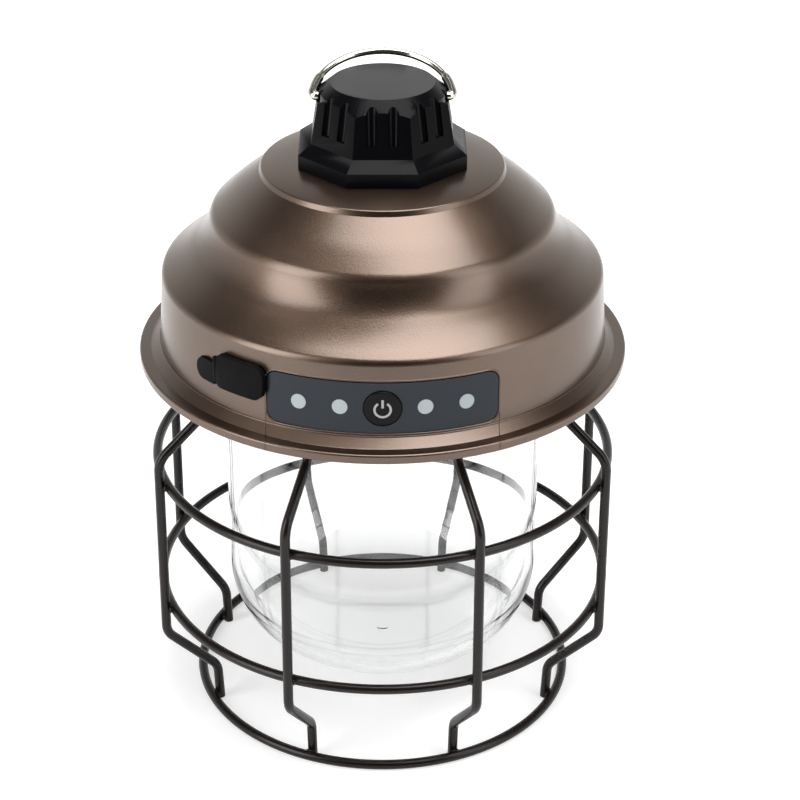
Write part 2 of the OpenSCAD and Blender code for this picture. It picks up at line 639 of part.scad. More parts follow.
module board_screws() color(STEEL) for (x = [-1, 1], y = [-1, 1])
    translate([x * driver_hole_x, y * cell_pitch / 2, driver_z + board_t]) {
        cylinder(h = 2 * pilot_d / 3, d = 2 * pilot_d, $fn = 24);
        translate([0, 0, -board_t]) cylinder(h = board_t, d = pilot_d, $fn = 24);
    }

// ---- Light and globe ----
module led_board() color(WHITE) translate([0, 0, cage_h - board_t]) cylinder(h = board_t, d = led_board_d);
chip = [2.8, 3.5, 0.8];
module led_circle(count, r) for (i = [0 : count - 1]) rotate([0, 0, 360 / count * i])
    translate([r, 0, chip.z / 2]) cube(chip, center = true);
module led_chips() color([0.95, 0.8, 0.35]) translate([0, 0, cage_h - board_t - chip.z]) {
    led_circle(12, led_board_d * 0.36);
    led_circle(6, led_board_d * 0.17);
}
diffuser_h = 10;
diffuser_t = 1.2;
diffuser_draft = 1;
module diffuser() color([1, 1, 1, 0.7]) let (r = led_board_d / 2, z = cage_h - board_t, foot = z - diffuser_h)
    turned(concat(
        rounded([[r - diffuser_t, z, 0], [r, z, 0.2], [r - diffuser_draft, foot, 5], [0, foot, 0]]),
        rounded([[0, foot + diffuser_t, 0], [r - diffuser_draft - diffuser_t, foot + diffuser_t, 4],
            [r - diffuser_t, z, 0]])));
reflector_t = 1.4;
reflector_drop = 4.4;
reflector_gap = 0.4;
module reflector() color(WHITE) let (
        in_r = led_board_d / 2 + moving_gap, out_r = globe_r - globe_t - reflector_gap, z = cage_h - 0.02)
    turned([[in_r, z], [in_r + reflector_t, z], [out_r, z - reflector_drop],
        [out_r, z - reflector_drop - reflector_t], [in_r, z - reflector_t]]);
module globe_gasket() color(BLACK) translate([0, 0, lip_top_z]) difference() {
    cylinder(h = gasket_t, r = lip_r);
    translate([0, 0, -over]) cylinder(h = gasket_t + 2 * over, r = globe_r - globe_t);
}
// One wall of the globe, from the middle of its rounded bottom up to height z
function globe_wall(r, bottom, round_h, z) = concat(
    [for (i = [0 : 24]) let (a = 90 * i / 24, e = 2 / globe_fullness)
        [r * pow(sin(a), e), bottom + round_h - round_h * pow(cos(a), e)]],
    [[r, z]]);
module globe() color(GLASS) turned(concat(
    globe_wall(globe_r, globe_bottom_z, globe_round_h, lip_z),
    [[lip_r, lip_z], [lip_r, lip_top_z]],
    reversed(globe_wall(globe_r - globe_t, globe_bottom_z + globe_t, globe_round_h - globe_t / 2, lip_top_z))));
module globe_holder() color(BLACK) difference() {
    union() {
        translate([0, 0, lip_z - ring_ledge_t]) cylinder(h = mount_ring_z - lip_z + ring_ledge_t, r = holder_r);
        // ears under the mounting ring, between the ribs
        for (i = [0 : 3]) rotate([0, 0, 90 * i]) translate([-ear_w / 2, -screw_circle_r - ear_tail, mount_ring_z - ear_t])
            cube([ear_w, screw_circle_r + ear_tail - lip_r - ear_gap, ear_t]);
    }
    translate([0, 0, lip_z - ring_ledge_t - over]) cylinder(h = ring_ledge_t + 2 * over, r = globe_r + slip);
    translate([0, 0, lip_z]) cylinder(h = mount_ring_z - lip_z + over, r = lip_r + slip);
    at_quarters(screw_circle_r, 0) translate([0, 0, mount_ring_z - ear_t - over])
        cylinder(h = ear_t + 2 * over, d = screw_d + slip, $fn = 32);
}

// ---- Cage ----
module mounting_ring() color(WIRE) difference() {
    translate([0, 0, mount_ring_z]) cylinder(h = mount_ring_t, r = mount_ring_r);
    translate([0, 0, mount_ring_z - over]) cylinder(h = mount_ring_t + 2 * over, r = lip_r + slip);
    at_quarters(screw_circle_r, 0) translate([0, 0, mount_ring_z - over])
        cylinder(h = mount_ring_t + 2 * over, d = screw_d + slip, $fn = 32);
}
module cage_screws() color(STEEL) at_quarters(screw_circle_r, 0) translate([0, 0, mount_ring_z - ear_t])
    screw(screw_d, ear_t + mount_ring_t + plate_t + cage_boss_h - over);
module hoop(d, z) color(WIRE) translate([0, 0, z]) rotate_extrude() translate([d / 2, 0]) circle(d = wire_d, $fn = 24);
// The ribs' long legs lean a little, so they reach both hoops
function leg_r(z) = rib_upper_r + (rib_lower_r - rib_upper_r) * (upper_hoop_z - z) / (upper_hoop_z - lower_hoop_z);
rib_path = [
    [rib_top_r, mount_ring_z, 0],
    [rib_top_r, mount_ring_z - rib_top_h, bend_r],
    [leg_r(rib_shoulder_z), rib_shoulder_z, bend_r + 1],
    [leg_r(rib_knee_z), rib_knee_z, bend_r],
    [ankle_r, rib_ankle_z, bend_r],
    [rib_foot_r, 0.3, 0]];
module cage_rib(i) color(WIRE) rotate([0, 0, 360 / RIB_COUNT * (i + 0.5) - 90]) bent_wire(rib_path, wire_d);

head_shell();
base_plate();
cap();
cap_screw();
cap_washer();
hanging_ring();
control_panel();
for (i = [0 : 3]) indicator_lens(LENS_SIDES[i]);
power_button();
switch_plunger();
switch_housing();
indicator_leds();
control_board();
usb_shell();
usb_tongue();
usb_board();
port_cover();
port_cover_tab();
battery_tray();
for (i = [0 : CELL_COUNT - 1]) battery_cell(i);
driver_board();
board_screws();
shell_screws();
cage_screws();
mounting_ring();
globe_holder();
globe_gasket();
globe();
reflector();
led_board();
led_chips();
diffuser();
hoop(upper_hoop_d, upper_hoop_z);  // upper_hoop
hoop(lower_hoop_d, lower_hoop_z);  // lower_hoop
hoop(base_ring_d, wire_d / 2);  // base_ring
for (i = [0 : RIB_COUNT - 1]) cage_rib(i);
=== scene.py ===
import json
from math import atan2, cos, hypot, pi, radians, sin, sqrt, tan

import bmesh
import bpy
from mathutils import Matrix, Vector

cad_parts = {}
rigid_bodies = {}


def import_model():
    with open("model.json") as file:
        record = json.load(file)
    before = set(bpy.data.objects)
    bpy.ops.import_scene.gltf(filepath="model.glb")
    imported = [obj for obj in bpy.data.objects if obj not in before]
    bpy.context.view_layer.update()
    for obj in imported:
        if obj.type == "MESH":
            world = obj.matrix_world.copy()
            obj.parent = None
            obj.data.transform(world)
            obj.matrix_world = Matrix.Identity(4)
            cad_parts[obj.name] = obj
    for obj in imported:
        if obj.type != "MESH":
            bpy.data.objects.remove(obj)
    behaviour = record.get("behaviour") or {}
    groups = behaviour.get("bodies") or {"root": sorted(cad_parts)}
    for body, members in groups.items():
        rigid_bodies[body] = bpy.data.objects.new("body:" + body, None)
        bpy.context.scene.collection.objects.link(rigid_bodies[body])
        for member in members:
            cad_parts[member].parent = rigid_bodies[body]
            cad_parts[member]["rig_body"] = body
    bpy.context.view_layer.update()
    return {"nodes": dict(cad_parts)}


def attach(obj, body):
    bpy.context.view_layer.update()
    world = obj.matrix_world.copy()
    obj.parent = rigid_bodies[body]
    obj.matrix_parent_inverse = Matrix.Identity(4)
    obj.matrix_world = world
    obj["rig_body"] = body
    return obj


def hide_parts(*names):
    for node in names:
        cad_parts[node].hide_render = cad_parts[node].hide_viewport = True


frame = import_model()
nodes = frame["nodes"]

# ---- Head shell ----
# The bronze-coloured head is drawn from steel sheet: a rolled rim, a ledge and a collar below a nearly upright
# wall, then a flared skirt, a waist, a bell and a stepped top. Its paint is a satin metallic one.
RIM_Z, LEDGE_Z, WALL_Z, WALL_TOP_Z = 97.5, 99.9, 102.1, 120.7
WAIST_Z, BELL_Z, STEP_Z, SEAT_Z = 130.5, 136.0, 146.2, 149.15
RIM_R, COLLAR_R, WALL_R, WALL_TOP_R = 61.8, 58.9, 56.4, 55.35
WAIST_R, BELL_R, STEP_R, SEAT_R = 44.0, 42.6, 30.4, 22.68
SHELL_T = 2.0
MOUTH_R = 54.4                    # inner edge of the rim's underside
BEAD_W, BEAD_DROP, BEAD_RISE = 0.3, 0.25, 0.12   # the fine bead at the foot of the wall
PANEL_Z, PANEL_W, PANEL_H, PANEL_CORNER = 109.3, 54.2, 12.8, 2.8
PORT_Z, PORT_ANGLE = 112.1, radians(36.2)
PORT_MOUTH = (11.14, 5.16, 2)     # width, height and corner radius of the port's opening
TAB_W, TAB_H, TAB_ROUND, TAB_Z, TAB_X = 6.75, 5.5, 2.6, 110.1, -11.62
SEAM_X, SEAM_W = 27.5, 0.14
POCKET_PLAY, POCKET_DEPTH = 0.4, 1.2
LIP_OFFSET, LIP_WIRE_R, LIP_SUNK, LIP_STEP = 0.8, 0.24, 0.1, 0.8
CUT_FROM, CUT_TO = 20, 60         # reach of a cutter in front of the axis


def mm(*lengths):
    """Lengths in millimetres as a vector in metres."""
    return Vector(lengths) * 0.001


def rounded(path, steps=14):
    """A path of (x, y, corner radius) as points, with each corner turned into an arc."""
    out = []
    for i, (x, y, r) in enumerate(path):
        here = Vector((x, y))
        if i in (0, len(path) - 1) or r == 0:
            out.append(here)
            continue
        to_last = (Vector(path[i - 1][:2]) - here).normalized()
        to_next = (Vector(path[i + 1][:2]) - here).normalized()
        half = to_last.angle(to_next) / 2
        centre = here + (to_last + to_next).normalized() * r / sin(half)
        start = here + to_last * r / tan(half) - centre
        end = here + to_next * r / tan(half) - centre
        first = atan2(start.y, start.x)
        turn = (atan2(end.y, end.x) - first + 3 * pi) % (2 * pi) - pi
        for k in range(steps + 1):
            a = first + turn * k / steps
            out.append(centre + r * Vector((cos(a), sin(a))))
    return out


def shade(mesh, sharp):
    """Smooth shading with the edges over the sharp angle left crisp."""
    mesh.polygons.foreach_set("use_smooth", [True] * len(mesh.polygons))
    mesh.set_sharp_from_angle(angle=radians(sharp))


def new_piece(name, bm, sharp=30):
    """A smooth-shaded object from a bmesh, with edges over the sharp angle left crisp."""
    bmesh.ops.recalc_face_normals(bm, faces=bm.faces)
    mesh = bpy.data.meshes.new(name)
    bm.to_mesh(mesh)
    bm.free()
    shade(mesh, sharp)
    obj = bpy.data.objects.new(name, mesh)
    bpy.context.scene.collection.objects.link(obj)
    return obj


def revolve(name, profile, steps=256):
    """A closed outline of (radius, height) in millimetres turned round the axis."""
    bm = bmesh.new()
    columns = []
    for i in range(steps):
        a = 2 * pi * i / steps
        columns.append([bm.verts.new(mm(r * sin(a), -r * cos(a), z)) if r > 1e-6 or i == 0 else None
                        for r, z in profile])
    for row, (r, _) in enumerate(profile):
        if r <= 1e-6:
            for column in columns:
                column[row] = columns[0][row]
    for i, column in enumerate(columns):
        beside = columns[(i + 1) % steps]
        for row in range(len(profile)):
            above = (row + 1) % len(profile)
            corners = [column[row], beside[row], beside[above], column[above]]
            corners = [v for k, v in enumerate(corners) if v not in corners[:k]]
            if len(corners) > 2:
                bm.faces.new(corners)
    return new_piece(name, bm)


def rounded_box_outline(w, h, r, steps=10):
    """The outline of a rounded rectangle round its centre, in millimetres."""
    out = []
    for k, (sx, sy) in enumerate([(1, 1), (-1, 1), (-1, -1), (1, -1)]):
        for s in range(steps + 1):
            a = pi / 2 * (k + s / steps)
            out.append((sx * (w / 2 - r) + r * cos(a), sy * (h / 2 - r) + r * sin(a)))
    return out


def punch(outline, centre_z, turn=0.0, shift=0.0, reach=CUT_TO):
    """A prism that cuts through the wall in front of the axis, turned about it by an angle."""
    bm = bmesh.new()
    near = [bm.verts.new(mm(x + shift, -CUT_FROM, centre_z + z)) for x, z in outline]
    far = [bm.verts.new(mm(x + shift, -reach, centre_z + z)) for x, z in outline]
    bm.faces.new(near)
    bm.faces.new(far[::-1])
    for k in range(len(outline)):
        n = (k + 1) % len(outline)
        bm.faces.new([near[k], far[k], far[n], near[n]])
    bmesh.ops.rotate(bm, verts=bm.verts, cent=(0, 0, 0), matrix=Matrix.Rotation(-turn, 3, "Z"))
    return new_piece("cutter", bm)


def settle(piece):
    """Turns a piece's modifiers into its mesh."""
    evaluated = piece.evaluated_get(bpy.context.evaluated_depsgraph_get())
    mesh = bpy.data.meshes.new_from_object(evaluated)
    piece.modifiers.clear()
    piece.data = mesh


def combine(piece, cutter, operation="DIFFERENCE"):
    """Cuts a piece with another and keeps its crisp edges."""
    step = piece.modifiers.new("cut", "BOOLEAN")
    step.operation, step.object, step.solver = operation, cutter, "EXACT"
    settle(piece)
    shade(piece.data, 30)
    bpy.data.objects.remove(cutter)


def wall_ring(outer, inner):
    """The part of the tapered wall between two depths below its face."""
    z0, z1 = WALL_Z - 0.02, WALL_TOP_Z + 0.02
    lean = WALL_R - WALL_TOP_R
    return revolve("wall_ring", [(WALL_R - outer, z0), (WALL_R - lean - outer, z1),
                                 (WALL_R - lean - inner, z1), (WALL_R - inner, z0)])


def seam_cutter(x):
    """A thin blade that scores the fine joint line down the foot of the wall, the collar and the rim."""
    half = SEAM_W / 2
    blade = punch([(-half, -5), (half, -5), (half, 8), (-half, 8)], RIM_Z, 0, x, 70)
    combine(blade, revolve("skin", [(RIM_R - 0.25, RIM_Z - 1), (RIM_R - 0.25, LEDGE_Z - 0.3),
                                    (COLLAR_R - 0.2, LEDGE_Z - 0.2), (WALL_R - 0.2, WALL_Z - 0.2),
                                    (WALL_R - 0.35, WALL_Z + 5), (RIM_R + 2, WALL_Z + 5), (RIM_R + 2, RIM_Z - 1)]),
            "INTERSECT")
    return blade


def wall_bead(name, outline, centre_z, radius, sunk, sides=10):
    """A fine rounded lip along an outline on the wall, sunk into it by a depth."""
    bm = bmesh.new()
    points = []
    for x, z in outline:
        r = WALL_R - (WALL_R - WALL_TOP_R) * (centre_z + z - WALL_Z) / (WALL_TOP_Z - WALL_Z) - sunk
        y = -sqrt(r * r - x * x)
        points.append((Vector((x, y, centre_z + z)), Vector((x, y, 0)) / r))
    rings = []
    for k, (point, out) in enumerate(points):
        along = (points[(k + 1) % len(points)][0] - points[k - 1][0]).normalized()
        across = along.cross(out).normalized()
        rings.append([bm.verts.new(mm(*(point + radius * (cos(a) * out + sin(a) * across))))
                      for a in [2 * pi * i / sides for i in range(sides)]])
    for k, ring in enumerate(rings):
        beside = rings[(k + 1) % len(rings)]
        for i in range(sides):
            n = (i + 1) % sides
            bm.faces.new([ring[i], ring[n], beside[n], beside[i]])
    return new_piece(name, bm, 60)


crown = [(WALL_TOP_R, WALL_TOP_Z, 2.4), (50.5, 124.2, 45), (WAIST_R, WAIST_Z, 15), (BELL_R, BELL_Z, 4.5),
         ((BELL_R + STEP_R) / 2 + 0.4, (BELL_Z + STEP_Z) / 2, 60), (STEP_R, STEP_Z, 0.35),
         (STEP_R - 0.5, STEP_Z + 1.3, 0.5), (SEAT_R, SEAT_Z, 0)]
outside = rounded([(MOUTH_R, RIM_Z, 0), (RIM_R, RIM_Z, 0.5), (RIM_R, LEDGE_Z, 0.55), (COLLAR_R, LEDGE_Z + 0.05, 0.3),
                   (WALL_R + BEAD_W, WALL_Z - BEAD_DROP, 0.03), (WALL_R + BEAD_W, WALL_Z + BEAD_RISE, 0.2),
                   (WALL_R, WALL_Z + 0.14, 0.01)] + crown)
inside = rounded([(0, SEAT_Z - SHELL_T, 0), (SEAT_R, SEAT_Z - SHELL_T, 0),
                  (STEP_R - 2.2, STEP_Z - 0.6, 1), (BELL_R - 1.4, BELL_Z - 1.4, 3),
                  (WAIST_R - 1.8, WAIST_Z - 1.2, 6), (WALL_TOP_R - 2, WALL_TOP_Z - 1.7, 2),
                  (WALL_R - SHELL_T, WALL_Z, 0), (MOUTH_R, RIM_Z, 0)], 6)
head = revolve("head_body", outside + [Vector((0, SEAT_Z))] + inside[:-1], 384)
pocket = punch(rounded_box_outline(PANEL_W + POCKET_PLAY, PANEL_H + POCKET_PLAY, PANEL_CORNER), PANEL_Z)
combine(pocket, wall_ring(-1, POCKET_DEPTH), "INTERSECT")
combine(head, pocket)
combine(head, punch(rounded_box_outline(PANEL_W - 5, PANEL_H - 2, PANEL_CORNER - 1), PANEL_Z))
combine(head, punch(rounded_box_outline(*PORT_MOUTH), PORT_Z, PORT_ANGLE))
tab_pocket = punch(rounded_box_outline(TAB_W + 0.2, TAB_H + 0.2, TAB_ROUND + 0.1), TAB_Z, PORT_ANGLE, TAB_X)
combine(tab_pocket, wall_ring(-1, POCKET_DEPTH), "INTERSECT")
combine(head, tab_pocket)
for side in (-1, 1):
    combine(head, seam_cutter(side * SEAM_X))
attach(head, "head")
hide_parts("head_shell")


def shader_group(name, inputs, outputs):
    """An empty node group with its sockets made, and its input and output nodes."""
    group = bpy.data.node_groups.new(name, "ShaderNodeTree")
    for socket, kind, value in inputs:
        group.interface.new_socket(socket, in_out="INPUT", socket_type=kind).default_value = value
    for socket, kind in outputs:
        group.interface.new_socket(socket, in_out="OUTPUT", socket_type=kind)
    return group, group.nodes.new("NodeGroupInput"), group.nodes.new("NodeGroupOutput")


def math_node(tree, operation, a, b=0.0, c=0.0):
    """One Math node, whose inputs are sockets or numbers."""
    node = tree.nodes.new("ShaderNodeMath")
    node.operation = operation
    for socket, value in zip(node.inputs, (a, b, c)):
        if isinstance(value, (int, float)):
            socket.default_value = value
        else:
            tree.links.new(value, socket)
    return node.outputs[0]


def preset(node, **values):
    """Sets a node's input sockets; an underscore stands for a space in a socket's name."""
    for socket, value in values.items():
        node.inputs[socket.replace("_", " ")].default_value = value


def make_grain():
    """Uneven colour, sheen and a fine skin, as paint and mouldings have; sizes are in millimetres."""
    tree, given, result = shader_group(
        "skin_grain",
        [("Color", "NodeSocketColor", (0.5, 0.5, 0.5, 1)), ("Shade", "NodeSocketFloat", 0.05),
         ("Roughness", "NodeSocketFloat", 0.4), ("Spread", "NodeSocketFloat", 0.05),
         ("Grain Size", "NodeSocketFloat", 0.5), ("Cloud Size", "NodeSocketFloat", 30.0)],
        [("Color", "NodeSocketColor"), ("Roughness", "NodeSocketFloat"), ("Height", "NodeSocketFloat")])
    place = tree.nodes.new("ShaderNodeTexCoord").outputs["Object"]
    waves = []
    for size, detail in (("Grain Size", 3.0), ("Cloud Size", 2.0)):
        noise = tree.nodes.new("ShaderNodeTexNoise")
        preset(noise, Detail=detail)
        tree.links.new(place, noise.inputs["Vector"])
        tree.links.new(math_node(tree, "DIVIDE", 1000.0, given.outputs[size]), noise.inputs["Scale"])
        waves.append(noise.outputs["Fac"])
    grain, cloud = waves
    both = math_node(tree, "MULTIPLY_ADD", grain, 0.4, math_node(tree, "MULTIPLY", cloud, 0.6))
    swing = math_node(tree, "MULTIPLY_ADD", both, 2.0, -1.0)
    level = math_node(tree, "MULTIPLY_ADD", swing, given.outputs["Shade"], 1.0)
    tint = tree.nodes.new("ShaderNodeVectorMath")
    tint.operation = "SCALE"
    tree.links.new(given.outputs["Color"], tint.inputs[0])
    tree.links.new(level, tint.inputs["Scale"])
    tree.links.new(tint.outputs[0], result.inputs["Color"])
    tree.links.new(math_node(tree, "MULTIPLY_ADD", swing, given.outputs["Spread"], given.outputs["Roughness"]),
                   result.inputs["Roughness"])
    tree.links.new(grain, result.inputs["Height"])
    return tree


skin_grain = make_grain()


def finish(name, color, roughness, shade=0.05, spread=0.05, grain=0.5, depth=0.01, cloud=30.0, **sockets):
    """A material with the grain group feeding a Principled BSDF; depth is the grain's height in millimetres."""
    material = bpy.data.materials.new(name)
    material.use_nodes = True
    tree = material.node_tree
    shader = tree.nodes["Principled BSDF"]
    skin = tree.nodes.new("ShaderNodeGroup")
    skin.node_tree = skin_grain
    preset(skin, Color=(*color, 1), Shade=shade, Roughness=roughness, Spread=spread, Grain_Size=grain,
           Cloud_Size=cloud)
    bump = tree.nodes.new("ShaderNodeBump")
    preset(bump, Distance=depth * 0.001)
    tree.links.new(skin.outputs["Height"], bump.inputs["Height"])
    tree.links.new(skin.outputs["Color"], shader.inputs["Base Color"])
    tree.links.new(skin.outputs["Roughness"], shader.inputs["Roughness"])
    tree.links.new(bump.outputs[0], shader.inputs["Normal"])
    preset(shader, **sockets)
    return material


def dress(piece, material):
    """Gives a piece or a carried-over CAD node one material."""
    piece.data.materials.clear()
    piece.data.materials.append(material)
    return piece


def dress_nodes(material, *names):
    """Gives several carried-over CAD nodes one material."""
    for name in names:
        dress(nodes[name], material)


bronze_paint = finish("bronze_paint", (0.094, 0.058, 0.038), 0.36, shade=0.35, spread=0.12, grain=0.4, depth=0.045,
                      cloud=18, Metallic=1.0, Coat_Weight=1.0, Coat_Roughness=0.25, Specular_Tint=(0.5, 0.45, 0.4, 1))
dress(head, bronze_paint)
corners = rounded_box_outline(PANEL_W + LIP_OFFSET, PANEL_H + LIP_OFFSET, PANEL_CORNER + 0.2)
lip_outline = []
for (x0, z0), (x1, z1) in zip(corners, corners[1:] + corners[:1]):
    steps = max(1, round(hypot(x1 - x0, z1 - z0) / LIP_STEP))
    lip_outline += [(x0 + (x1 - x0) * k / steps, z0 + (z1 - z0) * k / steps) for k in range(steps)]
lip = dress(wall_bead("panel_lip", lip_outline, PANEL_Z, LIP_WIRE_R, LIP_SUNK), bronze_paint)
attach(lip, "head")

# ---- Base plate and battery ----
# A round plate closes the head from below. It carries a tray with three cells, the round driver board over
# them, and the screws that hold the head's bosses and the boards. All of it is out of sight once closed.
black_plastic = finish("black_plastic", (0.008, 0.008, 0.009), 0.42, shade=0.12, spread=0.06, grain=0.35, depth=0.012,
                       Specular_IOR_Level=0.2)
circuit_board = finish("circuit_board", (0.02, 0.14, 0.06), 0.3, shade=0.2, grain=1.2, cloud=6)
steel = finish("steel", (0.5, 0.5, 0.52), 0.32, shade=0.06, spread=0.12, grain=0.4, depth=0.006, Metallic=1.0)
cell_wrap = finish("cell_wrap", (0.05, 0.12, 0.4), 0.3, shade=0.06, grain=0.8)


def softened(node, width, name, sharp=32):
    """A CAD node's shape with its edges rounded off by a width in millimetres, standing for that node."""
    bm = bmesh.new()
    bm.from_mesh(nodes[node].data)
    bmesh.ops.remove_doubles(bm, verts=bm.verts, dist=2e-6)
    bmesh.ops.dissolve_limit(bm, angle_limit=radians(0.6), verts=bm.verts, edges=bm.edges)
    piece = new_piece(name, bm, sharp)
    step = piece.modifiers.new("soft_edges", "BEVEL")
    step.width, step.segments, step.limit_method, step.angle_limit = width * 0.001, 3, "ANGLE", radians(sharp)
    step.use_clamp_overlap, step.harden_normals = True, True
    settle(piece)
    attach(piece, nodes[node]["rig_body"])
    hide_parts(node)
    return piece


dress_nodes(black_plastic, "base_plate", "battery_tray")
dress_nodes(cell_wrap, "battery_cell_1", "battery_cell_2", "battery_cell_3")
dress_nodes(circuit_board, "driver_board")
dress_nodes(steel, "board_screws", "shell_screws")

# ---- Cap ----
# A black eight-sided moulding on top of the head: a low plinth, a sloped foot and a body with two grip grooves in
# each face, turned off to a flat disc. One screw holds it from inside the head.
CAP_DISC_OVER = 160               # the disc lies above this height
cap = softened("cap", 0.12, "cap_body")
dress(cap, finish("cap_plastic", (0.002, 0.002, 0.0027), 0.26, shade=0.1, spread=0.05, grain=0.4, depth=0.008,
                  Specular_IOR_Level=0.07))
# The disc's up-facing faces get a second, rougher and lighter material: the roughness is its turned finish, and the
# lighter colour is partly its own grey and partly a painted sheen from the light overhead.
cap.data.materials.append(finish("turned_plastic_and_painted_sheen", (0.016, 0.0165, 0.018), 0.36, shade=0.1, spread=0.05, grain=0.4,
                                 depth=0.008, Specular_IOR_Level=0.25))
for face in cap.data.polygons:
    if face.normal.z > 0.99 and face.center.z > CAP_DISC_OVER * 0.001:
        face.material_index = 1
dress_nodes(steel, "cap_screw", "cap_washer")

# ---- Hanging ring ----
# A half ring of chromed wire, whose two pins turn in the cap, so that it swings over the top.
chrome = finish("chrome", (0.5, 0.49, 0.43), 0.15, shade=0.03, spread=0.03, grain=0.6, depth=0.001, Metallic=1.0)
RING_R, RING_WIRE_R, PIN_R, PIVOT_Z, RING_LEAN = 16.9, 1.15, 0.84, 164.75, radians(70)
PIN_END, CAP_SIDE, KNUCKLE_R, KNUCKLE_H = 12.3, 15.5, 1.25, 1.6
BOW_FROM, BOW_STEPS = 8, 60       # degrees above the pins at which the half circle starts, and its steps


def wire(line, radii, sides=20):
    """Round wire along a line in the upright plane through the axis, in millimetres, with its own radii."""
    bm = bmesh.new()
    rings = []
    for i, (p, radius) in enumerate(zip(line, radii)):
        along = (line[min(i + 1, len(line) - 1)] - line[max(i - 1, 0)]).normalized()
        rings.append([bm.verts.new(mm(p.x - radius * cos(a) * along.y, radius * sin(a),
                                      p.y + radius * cos(a) * along.x))
                      for a in [2 * pi * k / sides for k in range(sides)]])
    for a, b in zip(rings, rings[1:]):
        for k in range(sides):
            n = (k + 1) % sides
            bm.faces.new([a[k], a[n], b[n], b[k]])
    bm.faces.new(rings[0][::-1])
    bm.faces.new(rings[-1])
    return bm


knuckle = rounded([(PIN_END, 0, 0), (CAP_SIDE - 0.4, 0, 0), (CAP_SIDE, 0, 0), (RING_R, 0, KNUCKLE_R),
                   (RING_R, KNUCKLE_H, 0)], 8)
bow = [RING_R * Vector((cos(a), sin(a)))
       for a in [radians(BOW_FROM + (180 - 2 * BOW_FROM) * k / BOW_STEPS) for k in range(BOW_STEPS + 1)]]
line = knuckle + bow + [Vector((-p.x, p.y)) for p in reversed(knuckle)]
bm = wire(line, [PIN_R if abs(p.x) < CAP_SIDE - 0.2 else RING_WIRE_R for p in line], 24)
bmesh.ops.rotate(bm, verts=bm.verts, cent=(0, 0, 0), matrix=Matrix.Rotation(-RING_LEAN, 3, "X"))
bmesh.ops.translate(bm, verts=bm.verts, vec=mm(0, 0, PIVOT_Z))
ring = dress(new_piece("ring_wire", bm, 50), chrome)
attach(ring, "ring")
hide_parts("hanging_ring")

# ---- Control panel ----
# A curved slate-grey panel is let into the wall. Four white light guides and the round button come through it;
# the switch, the lights behind the guides and their board sit inside.
slate_panel = finish("slate_panel", (0.016, 0.021, 0.028), 0.2, shade=0.05, spread=0.03, grain=0.9, depth=0.001,
                     Specular_IOR_Level=0.25)
panel = softened("control_panel", 0.18, "panel_body")
dress(panel, slate_panel)
lens_white = finish("lens_white", (0.43, 0.48, 0.5), 0.3, shade=0.03, grain=0.4, depth=0.002)
dress_nodes(lens_white, *(f"indicator_lens_{i}" for i in range(1, 5)))
white_plastic = finish("white_plastic", (0.8, 0.8, 0.77), 0.45, shade=0.03, grain=0.6)
dress_nodes(black_plastic, "switch_plunger")
dress_nodes(steel, "switch_housing")
dress_nodes(white_plastic, "indicator_leds")
dress_nodes(circuit_board, "control_board")

# ---- Power button ----
# A round black button that comes through the panel, with a power symbol printed on it.
BUTTON_FACE_R = 56.5
SYMBOL_OUT, SYMBOL_IN, SYMBOL_GAP, SYMBOL_STEPS = 2.15, 1.62, radians(34), 40
BAR_W, BAR_H, BAR_RISE = 0.55, 2.1, 1.35
PRINT_SUNK, PRINT_PROUD = 0.02, 0.04
button = softened("power_button", 0.35, "button_body")
dress(button, finish("button_plastic", (0.004, 0.004, 0.005), 0.3, shade=0.08, grain=0.3, depth=0.005,
                     Specular_IOR_Level=0.12))


def printed_symbol():
    """A ring open at the top and a bar through the opening, as a thin raised print."""
    bm = bmesh.new()
    face_y, top_y = -BUTTON_FACE_R + PRINT_SUNK, -BUTTON_FACE_R - PRINT_PROUD
    rows = []
    for k in range(SYMBOL_STEPS + 1):
        a = SYMBOL_GAP + (2 * pi - 2 * SYMBOL_GAP) * k / SYMBOL_STEPS
        rows.append([bm.verts.new(mm(sin(a) * r, y, PANEL_Z - 0.15 + cos(a) * r))
                     for r, y in ((SYMBOL_IN, face_y), (SYMBOL_IN, top_y), (SYMBOL_OUT, top_y),
                                  (SYMBOL_OUT, face_y))])
    for a, b in zip(rows, rows[1:]):
        for k in range(4):
            n = (k + 1) % 4
            bm.faces.new([a[k], b[k], b[n], a[n]])
    bm.faces.new(rows[0])
    bm.faces.new(rows[-1][::-1])
    bar = bmesh.ops.create_cube(bm, size=1)["verts"]
    bmesh.ops.scale(bm, verts=bar, vec=mm(BAR_W, face_y - top_y, BAR_H))
    bmesh.ops.translate(bm, verts=bar, vec=mm(0, (face_y + top_y) / 2, PANEL_Z + BAR_RISE))
    return new_piece("power_symbol", bm)


symbol = dress(printed_symbol(), finish("white_print", (0.42, 0.43, 0.43), 0.4, shade=0.05, grain=0.2))
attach(symbol, "button")

# ---- Charging port ----
# A steel socket on its own board, behind a rubber cover. The cover's plug fills the port, and the cover swings out
# on a thin bead of rubber between it and the fixed tab.
HINGE_X, HINGE_GAP = -7.4, 0.95
COVER_OUTLINE, COVER_SHIFT = (15.6, 8.55, 2.7), -0.7   # cuts the cover's corners rounder, outside its hinge
TAB_PROUD, TAB_SUNK, TAB_LONGER = 0.9, 1.1, 3
black_rubber = finish("black_rubber", (0.0025, 0.0025, 0.0025), 0.5, shade=0.12, spread=0.06, grain=0.3, depth=0.015,
                      Specular_IOR_Level=0.06)
cover = softened("port_cover", 0.42, "cover_body")
dress(cover, black_rubber)
combine(cover, punch(rounded_box_outline(*COVER_OUTLINE), PORT_Z, PORT_ANGLE, COVER_SHIFT), "INTERSECT")
tab = punch(rounded_box_outline(TAB_W + TAB_LONGER, TAB_H, TAB_ROUND), TAB_Z, PORT_ANGLE, TAB_X + TAB_LONGER / 2)
combine(tab, punch(rounded_box_outline(6, 12, 0.1), TAB_Z, PORT_ANGLE, HINGE_X - HINGE_GAP + 3))
